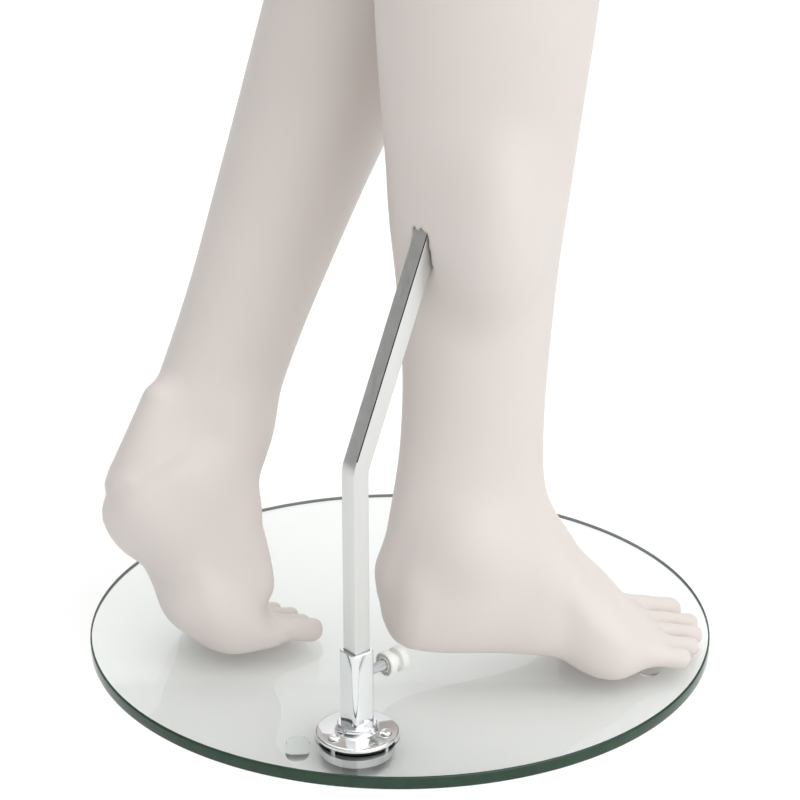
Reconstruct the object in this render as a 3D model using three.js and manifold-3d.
// A full-body female display mannequin standing on a round glass base.
// Millimetres, +Z up. The figure faces -Y, so its right side is -X.
// Until the last lines the origin is the centre of the glass's underside plane on the floor.
import * as THREE from 'three';
import { mergeVertices } from 'three/addons/utils/BufferGeometryUtils.js';
import Module from 'manifold-3d';

const wasm = await Module();
wasm.setup();

// ---- driving dimensions ----
const GAP = 0.3;                    // between pieces that touch
const GLASS = { radius: 200, thickness: 8, edge: 1 };
const PAD = { radius: 7, height: 5, circle: 165, count: 4 };
const FLANGE = { radius: 24, thickness: 3, hubRadius: 11.5, hubHeight: 5, screwCircle: 17.5, screws: 3 };
const SCREW = { shank: 2, head: 3.6, headHeight: 2.2, clearance: 2.4 };
const BACKING = { radius: 22, thickness: 2.5 };
const GASKET = { radius: 25, thickness: 0.8 };
const SOCKET = { width: 15.4, corner: 3, bore: 11.6, height: 56, screwHeight: 39 };
const BAR = { width: 11, corner: 0.8, bend: 18 };
const CLAMP = { shank: 3, knob: 7.5, knobLength: 14, reach: 12.5 };
const RING_SIDES = 16;              // sides of a limb's section
const TRUNK_SIDES = 22;
const FOOT_SIDES = 14;
const FIT_SIDES = 16;
const FIT = { plate: 3, peg: 9, pegLength: 14, recessSlack: 0.4 };

const GLASS_BOTTOM = PAD.height + GAP;
const GLASS_TOP = GLASS_BOTTOM + GLASS.thickness;

// The post stands behind the right heel, turned so that it can lean towards the calf.
const POST = { x: -130, y: 85, turn: THREE.MathUtils.degToRad(-73), lean: THREE.MathUtils.degToRad(23) };
const BEND_HEIGHT = 167;            // of the post's bend above the glass
const LEAN_LENGTH = 158;            // of the bar beyond its bend
const SLEEVE = { radius: 9.5, length: 46 };

// Joint centres of the figure, above the glass.
const RIGHT_LEG = [[-80, -7, 97], [-110, -6, 510], [-148, -10, 925]];
const LEFT_LEG = [[31, 131, 122], [20, -16, 514], [15, -8, 916]];
const RIGHT_TOE_OUT = 9.5;          // degrees
const LEFT_TOE_OUT = 1;
const LEFT_SLIM = 0.94;
const PELVIS_X = -68;
const WAIST_Z = 1122;
const THIGH_CUT_Z = 800;
const NECK_Z = 1556;

// ---- materials ----
const material = (color, roughness, metalness = 0) =>
  new THREE.MeshStandardMaterial({ color, roughness, metalness });
const SKIN = material(0xe6e1da, 0.55);
const CHROME = material(0xc8cacc, 0.12, 1);
const STEEL = material(0xa9abad, 0.35, 1);
const CLEAR = material(0xdfe8e2, 0.1);
const KNOB = material(0xe4e6e2, 0.45);

// ---- geometry helpers ----
const degrees = THREE.MathUtils.degToRad;
const group = new THREE.Group();
const onGlass = new THREE.Group();
onGlass.position.z = GLASS_TOP;
group.add(onGlass);
const vec = (x, y, z) => new THREE.Vector3(x, y, z);
const point = (p) => vec(p[0], p[1], p[2]);
// Straight ahead is -Y; a positive turn is towards the figure's left.
const heading = (turn) => vec(Math.sin(degrees(turn)), -Math.cos(degrees(turn)), 0);

// A closed surface through rings of equal count, closed by a fan at each end.
function loft(rings) {
  const sides = rings[0].length;
  const points = rings.flat();
  const faces = [];
  for (let i = 0; i + 1 < rings.length; i++) {
    for (let k = 0; k < sides; k++) {
      const a = i * sides + k;
      const b = i * sides + (k + 1) % sides;
      faces.push(a, b, b + sides, a, b + sides, a + sides);
    }
  }
  const cap = (ring, first, flipped) => {
    const centre = ring.reduce((sum, p) => sum.add(p), vec(0, 0, 0)).divideScalar(sides);
    const c = points.push(centre) - 1;
    for (let k = 0; k < sides; k++) {
      const a = first + k;
      const b = first + (k + 1) % sides;
      faces.push(...(flipped ? [c, b, a] : [c, a, b]));
    }
  };
  cap(rings[0], 0, true);
  cap(rings[rings.length - 1], (rings.length - 1) * sides, false);
  const geometry = new THREE.BufferGeometry().setFromPoints(points);
  geometry.setIndex(faces);
  return geometry;
}

// A closed, merged geometry as a solid for joining and cutting.
function solid(geometry, matrix) {
  const g = geometry.clone();
  g.deleteAttribute('normal');
  g.deleteAttribute('uv');
  if (matrix) g.applyMatrix4(matrix);
  const merged = mergeVertices(g, 1e-4);
  const mesh = new wasm.Mesh({
    numProp: 3,
    vertProperties: new Float32Array(merged.attributes.position.array),
    triVerts: new Uint32Array(merged.index.array),
  });
  return new wasm.Manifold(mesh);
}

function geometryOf(manifold) {
  const mesh = manifold.getMesh();
  const geometry = new THREE.BufferGeometry();
  geometry.setAttribute('position', new THREE.BufferAttribute(mesh.vertProperties, 3));
  geometry.setIndex(new THREE.BufferAttribute(mesh.triVerts, 1));
  geometry.computeVertexNormals();
  return geometry;
}

function addMesh(name, shape, surface, parent = group) {
  const geometry = shape.isBufferGeometry ? shape : geometryOf(shape);
  const mesh = new THREE.Mesh(geometry, surface);
  mesh.name = name;
  parent.add(mesh);
  return mesh;
}

// A solid of revolution about +Z from [radius, height] points; the profile starts and ends on the axis.
function turned(profile, segments = 32) {
  const geometry = new THREE.LatheGeometry(profile.map(([r, z]) => new THREE.Vector2(r, z)), segments);
  return solid(geometry, new THREE.Matrix4().makeRotationX(Math.PI / 2));
}

const disc = (radius, low, high, segments = 24) =>
  turned([[0, low], [radius, low], [radius, high], [0, high]], segments);

// A disc with a round hole.
const washer = (radius, hole, low, high, segments = 24) =>
  disc(radius, low, high, segments).subtract(disc(hole, low - 1, high + 1, segments));

// Turns local +Z to a direction and moves the origin to a place.
function facing(place, direction) {
  const turn = new THREE.Quaternion().setFromUnitVectors(vec(0, 0, 1), direction.clone().normalize());
  return new THREE.Matrix4().compose(place, turn, vec(1, 1, 1));
}

// The outside surface of a joined shape, without any bubble closed in between its pieces.
const outside = (manifold) => manifold.decompose().sort((a, b) => b.volume() - a.volume())[0];

const moved = (manifold, matrix) => manifold.transform(matrix.toArray());

function circlePlaces(count, radius, first = 0) {
  return Array.from({ length: count }, (_, i) => {
    const angle = first + (i * 2 * Math.PI) / count;
    return [radius * Math.cos(angle), radius * Math.sin(angle)];
  });
}

// ---- glass base ----
function glassBase() {
  const { radius, thickness, edge } = GLASS;
  let glass = turned([[0, 0], [radius - edge, 0], [radius, edge], [radius, thickness - edge],
    [radius - edge, thickness], [0, thickness]], 56);
  for (const [x, y] of flangeScrewPlaces()) {
    glass = glass.subtract(disc(SCREW.clearance, -1, thickness + 1, 10).translate([x, y, 0]));
  }
  addMesh('glass_base', glass.translate([0, 0, GLASS_BOTTOM]), CLEAR);
  circlePlaces(PAD.count, PAD.circle, Math.PI / 4).forEach(([x, y], i) => {
    const pad = turned([[0, 0], [PAD.radius - 1, 0], [PAD.radius, 1], [PAD.radius, PAD.height], [0, PAD.height]], 14);
    addMesh(`glass_pad_${i + 1}`, pad.translate([x, y, 0]), CLEAR);
  });
}

function flangeScrewPlaces() {
  return circlePlaces(FLANGE.screws, FLANGE.screwCircle, POST.turn + Math.PI / 3)
    .map(([x, y]) => [POST.x + x, POST.y + y]);
}

function flangeParts() {
  const gasketTop = GLASS_TOP + GAP + GASKET.thickness;
  const flangeBottom = gasketTop + GAP;
  const flangeTop = flangeBottom + FLANGE.thickness;
  const drilled = (shape, low, high) => flangeScrewPlaces().reduce((left, [x, y]) =>
    left.subtract(disc(SCREW.clearance, low - 1, high + 1, 10).translate([x, y, 0])), shape);
  const atPost = (shape) => shape.translate([POST.x, POST.y, 0]);
  addMesh('flange_gasket', drilled(atPost(disc(GASKET.radius, GLASS_TOP + GAP, gasketTop)),
    GLASS_TOP, gasketTop), CLEAR);
  const flange = turned([[0, flangeBottom], [FLANGE.radius, flangeBottom], [FLANGE.radius, flangeTop - 1],
    [FLANGE.radius - 1.5, flangeTop], [FLANGE.hubRadius + 2, flangeTop],
    [FLANGE.hubRadius, flangeTop + 2], [FLANGE.hubRadius, flangeTop + FLANGE.hubHeight],
    [0, flangeTop + FLANGE.hubHeight]], 28);
  const seat = solid(barGeometry(SOCKET.width + 2 * GAP, SOCKET.corner,
    [vec(0, 0, flangeTop), vec(0, 0, flangeTop + FLANGE.hubHeight + 1)], 2),
  new THREE.Matrix4().makeRotationZ(POST.turn));
  addMesh('base_flange', drilled(atPost(flange.subtract(seat)), flangeBottom, flangeTop), CHROME);
  const backingTop = GLASS_BOTTOM - GAP;
  const backingBottom = backingTop - BACKING.thickness;
  addMesh('backing_plate', drilled(atPost(disc(BACKING.radius, backingBottom, backingTop)),
    backingBottom, backingTop), STEEL);
  flangeScrewPlaces().forEach(([x, y], i) => {
    const head = turned([[0, backingBottom + GAP], [SCREW.shank, backingBottom + GAP],
      [SCREW.shank, flangeTop + GAP], [SCREW.head, flangeTop + GAP],
      [SCREW.head, flangeTop + GAP + 1], [SCREW.head * 0.6, flangeTop + GAP + SCREW.headHeight],
      [0, flangeTop + GAP + SCREW.headHeight]], 10);
    addMesh(`flange_screw_${i + 1}`, head.translate([x, y, 0]), CHROME);
  });
  return flangeTop;
}

// ---- post: socket, clamp screw and bent bar ----
// A square section with cut corners, swept through points in the local XZ plane.
function barGeometry(width, corner, centres, radialSteps = 0) {
  const h = width / 2;
  const outline = [];
  for (let q = 0; q < 4; q++) {
    const turn = (q * Math.PI) / 2;
    for (let s = 0; s <= radialSteps + 1; s++) {
      const angle = (s / (radialSteps + 1)) * (Math.PI / 2);
      const x = h - corner + corner * Math.cos(angle);
      const y = h - corner + corner * Math.sin(angle);
      outline.push([x * Math.cos(turn) - y * Math.sin(turn), x * Math.sin(turn) + y * Math.cos(turn)]);
    }
  }
  const rings = centres.map((centre, i) => {
    const before = centres[Math.max(0, i - 1)];
    const after = centres[Math.min(centres.length - 1, i + 1)];
    const along = after.clone().sub(before).normalize();
    const across = vec(along.z, 0, -along.x);
    return outline.map(([u, v]) => centre.clone().addScaledVector(across, u).add(vec(0, v, 0)));
  });
  return loft(rings);
}

const barBend = () => vec(0, 0, BEND_HEIGHT);
const barDirection = () => vec(Math.sin(POST.lean), 0, Math.cos(POST.lean));

// The bar's centre line: up, round the bend and along the lean.
function barLine() {
  const setback = BAR.bend * Math.tan(POST.lean / 2);
  const line = [vec(0, 0, FLANGE.thickness + GASKET.thickness + 4), barBend().addScaledVector(vec(0, 0, -1), setback)];
  const steps = 6;
  for (let i = 1; i <= steps; i++) {
    const angle = (i / steps) * POST.lean;
    line.push(vec(BAR.bend * (1 - Math.cos(angle)), 0, BEND_HEIGHT - setback + BAR.bend * Math.sin(angle)));
  }
  line.push(barBend().addScaledVector(barDirection(), LEAN_LENGTH));
  return line;
}

const postMatrix = () => new THREE.Matrix4().makeTranslation(POST.x, POST.y, 0)
  .multiply(new THREE.Matrix4().makeRotationZ(POST.turn));

function postParts(flangeTop) {
  const post = new THREE.Group();
  post.position.set(POST.x, POST.y, 0);
  post.rotation.z = POST.turn;
  group.add(post);
  const foot = flangeTop + GAP;
  const top = GLASS_TOP + SOCKET.height;
  const screwZ = GLASS_TOP + SOCKET.screwHeight;
  const tube = solid(barGeometry(SOCKET.width, SOCKET.corner, [vec(0, 0, foot), vec(0, 0, top)], 2));
  const bore = solid(barGeometry(SOCKET.bore, BAR.corner, [vec(0, 0, foot - 1), vec(0, 0, top + 1)]));
  const alongX = facing(vec(-20, 0, screwZ), vec(1, 0, 0));
  const screwHole = moved(disc(CLAMP.shank + GAP, 0, 40, 16), alongX);
  addMesh('socket_tube', tube.subtract(bore).subtract(screwHole), CHROME, post);

  const tip = BAR.width / 2 + GAP;
  const knobStart = SOCKET.width / 2 + CLAMP.reach;
  const fromAxis = facing(vec(0, 0, screwZ), vec(1, 0, 0));
  const shank = disc(CLAMP.shank, tip, knobStart + CLAMP.knobLength * 0.6, 16);
  addMesh('clamp_screw', moved(shank, fromAxis), STEEL, post);
  const r = CLAMP.knob;
  const knobEnd = knobStart + CLAMP.knobLength;
  const spool = turned([[0, knobStart], [r - 0.8, knobStart], [r, knobStart + 0.8], [r, knobStart + 5],
    [r * 0.62, knobStart + 6], [r * 0.62, knobStart + 8], [r, knobStart + 9], [r, knobEnd - 1],
    [r - 1, knobEnd], [0, knobEnd]], 18);
  const shankHole = disc(CLAMP.shank + GAP, knobStart - 1, knobStart + CLAMP.knobLength * 0.6 + GAP, 16);
  const nutRecess = disc(CLAMP.knob * 0.6, knobStart - 1, knobStart + 1.5, 6);
  addMesh('clamp_knob', moved(spool.subtract(shankHole).subtract(nutRecess), fromAxis), KNOB, post);

  const raised = new THREE.Group();
  raised.position.z = GLASS_TOP;
  post.add(raised);
  addMesh('support_bar', barGeometry(BAR.width, BAR.corner, barLine(), 0), CHROME, raised);
}

// The steel sleeve in the calf that slides over the bar's end, and the space for both.
function barEnd() {
  const end = barBend().addScaledVector(barDirection(), LEAN_LENGTH);
  return { end, direction: barDirection() };
}

function calfSleeve() {
  const { end, direction } = barEnd();
  const start = end.clone().addScaledVector(direction, -SLEEVE.length + 8);
  const outer = moved(disc(SLEEVE.radius, 0, SLEEVE.length, 20), facing(start, direction));
  const bore = solid(barGeometry(SOCKET.bore, BAR.corner,
    [end.clone().addScaledVector(direction, -SLEEVE.length), end.clone().addScaledVector(direction, GAP)]));
  return moved(outer.subtract(bore), postMatrix());
}

function calfPocket() {
  const { end, direction } = barEnd();
  const start = end.clone().addScaledVector(direction, -SLEEVE.length + 8 - 2 * GAP);
  const pocket = moved(disc(SLEEVE.radius + GAP, 0, SLEEVE.length + 4 * GAP, 20), facing(start, direction));
  const wayOut = solid(barGeometry(SOCKET.bore + 2 * GAP, BAR.corner,
    [end.clone().addScaledVector(direction, -SLEEVE.length * 2), end.clone().addScaledVector(direction, -10)]));
  return moved(pocket.add(wayOut), postMatrix());
}

// ---- figure ----
// One section: an oval with its own front and back depth, in the plane of `side` and `front`.
function section(centre, side, front, halfWidth, frontDepth, backDepth, sides = RING_SIDES) {
  return Array.from({ length: sides }, (_, k) => {
    const angle = (k / sides) * 2 * Math.PI;
    const depth = Math.sin(angle) > 0 ? frontDepth : backDepth;
    return centre.clone()
      .addScaledVector(side, halfWidth * Math.cos(angle))
      .addScaledVector(front, depth * Math.sin(angle));
  });
}

// Sections along a smooth line through joints; each row is
// [place in bone lengths, half width, front depth, back depth].
function limb(joints, rows, forward = vec(0, -1, 0), sides = RING_SIDES) {
  const line = new THREE.CatmullRomCurve3(joints.map(point), false, 'catmullrom', 0.35);
  const bones = joints.length - 1;
  const rings = rows.map(([place, halfWidth, frontDepth, backDepth]) => {
    const t = Math.min(1, Math.max(0, place / bones));
    const tangent = line.getTangent(t);
    const bone = joints.length > 1 ? line.getPoint(Math.min(1, t + 0.001)).distanceTo(line.getPoint(Math.max(0, t - 0.001))) : 0;
    const beyond = (place / bones - t) * bone * 500;
    const centre = line.getPoint(t).addScaledVector(tangent, beyond);
    const side = new THREE.Vector3().crossVectors(forward, tangent).normalize();
    const front = new THREE.Vector3().crossVectors(tangent, side).normalize();
    return section(centre, side, front, halfWidth, frontDepth, backDepth, sides);
  });
  return solid(loft(rings));
}

// Leg: ankle 0, knee 1, hip 2.
const LEG_ROWS = [
  [-0.06, 33, 48, 38], [0.05, 33, 48, 37], [0.13, 31, 46, 36], [0.22, 32, 45, 38], [0.32, 35, 46, 42],
  [0.42, 40, 48, 47], [0.52, 45, 52, 52], [0.62, 49, 56, 57], [0.72, 51.5, 60, 61], [0.82, 52, 62, 63],
  [0.91, 51, 61, 60], [1, 51, 60, 55], [1.12, 53, 61, 58], [1.3, 58, 66, 65], [1.5, 64, 72, 73],
  [1.7, 69, 76, 80], [1.9, 73, 78, 86],
];

// Foot sections along its length from the heel's back: [place, inner half width, outer half width, top, sole].
const FOOT_ROWS = [
  [-2, 13, 13, 52, 14], [5, 23, 23, 82, 4], [20, 29, 29, 104, 0], [42, 31, 31, 116, 0], [64, 31, 32, 118, 1],
  [86, 33, 35, 106, 3], [106, 35, 37, 84, 4], [124, 38, 40, 63, 2], [142, 40, 43, 48, 0], [160, 40, 41, 34, 0],
  [178, 36, 37, 25, 0],
];
const TOES = [
  // [distance from the centre line towards the inner side, tip, radius]
  [29, 209, 11.5], [10, 217, 8.5], [-5, 214, 8], [-19, 205, 7.5], [-31, 192, 7.5],
];
const FOOT_PIVOT = 142;             // where the foot bends, from the heel's back
const FOOT_BEND_HEIGHT = 8;
const BALL_SLANT = 0.22;            // the bend runs further forward on the inner side

// A foot whose hind part is lifted by an angle about the ball; `inner` is +1 when its inner side is +X.
function foot(ball, yaw, lift, inner, hindScale = 1) {
  const bent = (s, across, z) => {
    const slant = BALL_SLANT * across;
    const behind = (FOOT_PIVOT + slant - s) * (s < FOOT_PIVOT ? hindScale : 1);
    const share = THREE.MathUtils.smoothstep(behind, -24, 24);
    const angle = lift * share;
    const height = z * (1 - share * (1 - hindScale)) - FOOT_BEND_HEIGHT;
    const x = slant - behind * Math.cos(angle) + height * Math.sin(angle);
    const up = FOOT_BEND_HEIGHT + behind * Math.sin(angle) + height * Math.cos(angle);
    return vec(across * inner, -x, up);
  };
  const sides = FOOT_SIDES;
  const rings = FOOT_ROWS.map(([s, innerHalf, outerHalf, top, sole]) =>
    Array.from({ length: sides }, (_, k) => {
      const angle = (k / sides) * 2 * Math.PI * inner;
      const c = Math.cos(angle);
      const n = Math.sin(angle);
      const half = (top - sole) / 2;
      const squareness = n < 0 ? 0.7 : 1;
      const across = (c > 0 ? innerHalf : outerHalf) * Math.sign(c) * Math.abs(c) ** squareness;
      return bent(s, across, sole + half + half * Math.sign(n) * Math.abs(n) ** squareness);
    }));
  let shape = solid(loft(rings));
  for (const [across, tip, radius] of TOES) {
    const toe = new THREE.CapsuleGeometry(radius, tip - 150 - radius, 2, 8);
    const start = bent(150, across * 0.92, radius);
    const end = bent(tip - radius, across, radius);
    const middle = start.clone().add(end).multiplyScalar(0.5);
    const turn = new THREE.Quaternion().setFromUnitVectors(vec(0, 1, 0), end.clone().sub(start).normalize());
    shape = shape.add(solid(toe, new THREE.Matrix4().compose(middle, turn, vec(1, 1, 1))));
  }
  const place = new THREE.Matrix4().makeTranslation(ball[0], ball[1], 0)
    .multiply(new THREE.Matrix4().makeRotationZ(yaw));
  return moved(shape, place).subtract(beyond(vec(0, 0, GAP), vec(0, 0, -1)));
}

const rightFoot = () => foot([-98, -90], degrees(-RIGHT_TOE_OUT), degrees(8.5), 1);
const leftFoot = () => foot([27, 121], degrees(LEFT_TOE_OUT), degrees(57), -1, 0.86);

// Trunk sections: [height, half width, front depth, back depth, sideways place].
const PELVIS_ROWS = [
  [856, 52, 42, 66, PELVIS_X], [876, 124, 78, 108, PELVIS_X], [905, 157, 92, 120, PELVIS_X],
  [945, 168, 98, 120, PELVIS_X], [985, 164, 99, 104, PELVIS_X + 1], [1025, 149, 95, 86, PELVIS_X + 2],
  [1070, 128, 88, 74, PELVIS_X + 4], [1140, 115, 83, 71, PELVIS_X + 7],
];
const TORSO_ROWS = [
  [1100, 117, 84, 70, PELVIS_X + 6], [1150, 117, 84, 73, PELVIS_X + 8], [1195, 125, 89, 82, PELVIS_X + 10],
  [1240, 134, 98, 90, PELVIS_X + 12], [1285, 142, 116, 95, PELVIS_X + 13], [1315, 146, 124, 97, PELVIS_X + 14],
  [1350, 151, 108, 98, PELVIS_X + 15], [1395, 158, 84, 96, PELVIS_X + 16], [1440, 170, 66, 88, PELVIS_X + 16],
  [1475, 168, 54, 72, PELVIS_X + 16], [1500, 128, 46, 58, PELVIS_X + 16], [1520, 76, 44, 50, PELVIS_X + 16],
  [1545, 52, 46, 46, PELVIS_X + 16], [1575, 49, 49, 43, PELVIS_X + 16],
];
const SHOULDER_SPREAD = 163;
const TRUNK_Y = -14;

function trunk(rows) {
  return solid(loft(rows.map(([z, halfWidth, frontDepth, backDepth, x]) =>
    section(vec(x, TRUNK_Y, z), vec(-1, 0, 0), vec(0, -1, 0), halfWidth, frontDepth, backDepth, TRUNK_SIDES))));
}

// A block that fills everything on one side of a plane.
function beyond(place, direction, size = 1200) {
  const block = new THREE.BoxGeometry(size, size, size);
  const centre = place.clone().addScaledVector(direction.clone().normalize(), size / 2);
  return solid(block, facing(centre, direction));
}

// A two-piece fitting across a seam: a socket plate sunk in `fixed` and a pegged plate sunk in `loose`.
function fitting(name, place, normal, radius) {
  const frame = facing(place, normal);
  const { plate, peg, pegLength, recessSlack } = FIT;
  const recess = disc(radius + recessSlack, -plate - 2 * GAP, plate + 2 * GAP, FIT_SIDES);
  const pegRoom = disc(peg + 3, -pegLength - 4, 0, FIT_SIDES);
  addMesh(`${name}_socket_plate`,
    moved(washer(radius, peg + GAP, -plate - GAP / 2, -GAP / 2, FIT_SIDES), frame), STEEL, onGlass);
  const pegged = disc(radius, GAP / 2, plate + GAP / 2, FIT_SIDES).add(disc(peg, -pegLength, 1, FIT_SIDES));
  addMesh(`${name}_peg_plate`, moved(pegged, frame), STEEL, onGlass);
  return { pocket: moved(recess.add(pegRoom), frame) };
}

function seam(shape, place, normal, keepBelow) {
  const away = keepBelow ? normal.clone() : normal.clone().negate();
  return shape.subtract(beyond(place.clone().addScaledVector(away, -GAP / 2), away));
}

const shoulder = (side) => vec(PELVIS_X + 16 + side * SHOULDER_SPREAD, TRUNK_Y - 8, 1452);
const shoulderNormal = (side) => vec(side * Math.cos(degrees(8)), 0, Math.sin(degrees(8)));
const ARM_ROWS = [
  [-0.06, 40, 44, 44], [0.05, 46, 50, 50], [0.2, 46, 49, 48], [0.4, 42, 44, 43], [0.6, 38, 40, 38],
  [0.8, 35, 36, 35], [0.95, 33, 36, 35], [1.05, 34, 37, 34], [1.2, 36, 37, 35], [1.4, 34, 34, 32],
  [1.6, 29, 29, 27], [1.8, 25, 24, 22], [1.95, 23, 20, 19], [2.06, 23, 19, 18],
];

function armJoints(side) {
  const s = shoulder(side);
  return side < 0
    ? [[s.x - 12, s.y, 1456], [s.x - 60, s.y + 18, 1168], [s.x - 82, s.y - 44, 936]]
    : [[s.x + 12, s.y, 1456], [s.x + 58, s.y + 26, 1168], [s.x + 84, s.y - 16, 930]];
}

const FINGERS = [
  // [across the palm, first knuckle from the wrist, length, radius]
  [27, 86, 68, 7.6], [10, 92, 76, 8], [-8, 90, 70, 7.6], [-25, 83, 56, 6.8],
];

// A relaxed hand below the wrist: palm towards the body, thumb forward. Local +Z runs down the hand.
function hand(side) {
  const joints = armJoints(side);
  const wrist = point(joints[2]);
  const along = wrist.clone().sub(point(joints[1])).normalize();
  const palm = solid(loft([[-14, 19, 18, 0], [8, 22, 15, 0], [30, 30, 14, 1], [60, 38, 14, 2], [86, 40, 12, 3], [97, 36, 9, 4]]
    .map(([z, half, thick, curl]) => section(vec(0, curl, z), vec(1, 0, 0), vec(0, 1, 0), half, thick, thick, 16))));
  const stick = (from, to, radius) => {
    const length = from.distanceTo(to);
    const capsule = new THREE.CapsuleGeometry(radius, length, 2, 8);
    const turn = new THREE.Quaternion().setFromUnitVectors(vec(0, 1, 0), to.clone().sub(from).normalize());
    const middle = from.clone().add(to).multiplyScalar(0.5);
    return solid(capsule, new THREE.Matrix4().compose(middle, turn, vec(1, 1, 1)));
  };
  let shape = palm;
  for (const [across, knuckle, length, radius] of FINGERS) {
    const bend = vec(across * 1.02, 12, knuckle + length * 0.5);
    shape = shape.add(stick(vec(across, 3, knuckle), bend, radius));
    shape = shape.add(stick(bend, vec(across * 0.98, 24, knuckle + length - radius), radius * 0.92));
  }
  shape = shape.add(stick(vec(26, 6, 34), vec(46, 16, 62), 10)).add(stick(vec(46, 16, 62), vec(52, 24, 92), 8.5));
  const forward = vec(0, -1, 0);
  const inward = vec(-side, 0, 0);
  const across = forward.clone().addScaledVector(along, -forward.dot(along)).normalize();
  const palmward = new THREE.Vector3().crossVectors(along, across).normalize();
  const flip = palmward.dot(inward) < 0 ? -1 : 1;
  const basis = new THREE.Matrix4().makeBasis(across, palmward.multiplyScalar(flip), along);
  basis.setPosition(wrist);
  return moved(outside(shape), basis);
}

function head() {
  const c = vec(PELVIS_X + 16, TRUNK_Y, 0);
  const rows = [
    [1540, 52, 46, 46], [1570, 49, 48, 44], [1592, 50, 66, 46], [1604, 56, 88, 58], [1622, 62, 100, 70],
    [1650, 69, 104, 82], [1685, 75, 104, 90], [1720, 77, 102, 94], [1755, 74, 95, 90], [1785, 62, 78, 76],
    [1805, 44, 56, 54], [1816, 24, 30, 30],
  ];
  return solid(loft(rows.map(([z, halfWidth, frontDepth, backDepth]) =>
    section(vec(c.x, c.y, z), vec(-1, 0, 0), vec(0, -1, 0), halfWidth, frontDepth, backDepth, TRUNK_SIDES))));
}

function figure() {
  const up = vec(0, 0, 1);
  const waist = vec(PELVIS_X + 7, TRUNK_Y, WAIST_Z);
  const thigh = vec(16.5, -10, THIGH_CUT_Z);
  const neck = vec(PELVIS_X + 16, TRUNK_Y, NECK_Z);
  const waistFit = fitting('waist', waist, up, 44);
  const thighFit = fitting('thigh', thigh, up.clone().negate(), 34);
  const neckFit = fitting('neck', neck, up, 26);

  const pelvis = trunk(PELVIS_ROWS);
  const rightLeg = limb(RIGHT_LEG, LEG_ROWS, heading(-RIGHT_TOE_OUT));
  const slimmer = LEG_ROWS.map(([place, ...sizes]) => [place, ...sizes.map((size) => size * LEFT_SLIM)]);
  const leftLeg = limb(LEFT_LEG, slimmer, heading(LEFT_TOE_OUT));
  const leftStump = seam(leftLeg, thigh, up, false);
  const lower = seam(outside(pelvis.add(rightLeg).add(rightFoot()).add(leftStump)), waist, up, true)
    .subtract(waistFit.pocket).subtract(thighFit.pocket).subtract(calfPocket());
  addMesh('lower_body', lower, SKIN, onGlass);
  addMesh('calf_sleeve', calfSleeve(), STEEL, onGlass);
  addMesh('left_leg', outside(seam(leftLeg, thigh, up, true).add(leftFoot())).subtract(thighFit.pocket), SKIN, onGlass);

  let torso = seam(seam(trunk(TORSO_ROWS), neck, up, true), waist, up, false)
    .subtract(waistFit.pocket).subtract(neckFit.pocket);
  addMesh('head', seam(head(), neck, up, false).subtract(neckFit.pocket), SKIN, onGlass);

  for (const [side, label] of [[-1, 'right'], [1, 'left']]) {
    const place = shoulder(side);
    const normal = shoulderNormal(side);
    const joints = armJoints(side);
    const wrist = point(joints[2]);
    const wristNormal = wrist.clone().sub(point(joints[1])).normalize();
    const shoulderFit = fitting(`${label}_shoulder`, place, normal, 30);
    const wristFit = fitting(`${label}_wrist`, wrist, wristNormal, 13);
    torso = seam(torso, place, normal, true).subtract(shoulderFit.pocket);
    const arm = seam(seam(limb(joints, ARM_ROWS), place, normal, false), wrist, wristNormal, true);
    addMesh(`${label}_arm`, arm.subtract(shoulderFit.pocket).subtract(wristFit.pocket), SKIN, onGlass);
    addMesh(`${label}_hand`, seam(hand(side), wrist, wristNormal, false).subtract(wristFit.pocket), SKIN, onGlass);
  }
  addMesh('torso', torso, SKIN, onGlass);
}

glassBase();
postParts(flangeParts());
figure();

// Put the origin at the middle of the whole object's base.
group.updateMatrixWorld(true);
const bounds = new THREE.Box3().setFromObject(group, true);
group.position.set(-(bounds.min.x + bounds.max.x) / 2, -(bounds.min.y + bounds.max.y) / 2, -bounds.min.z);

export default group;
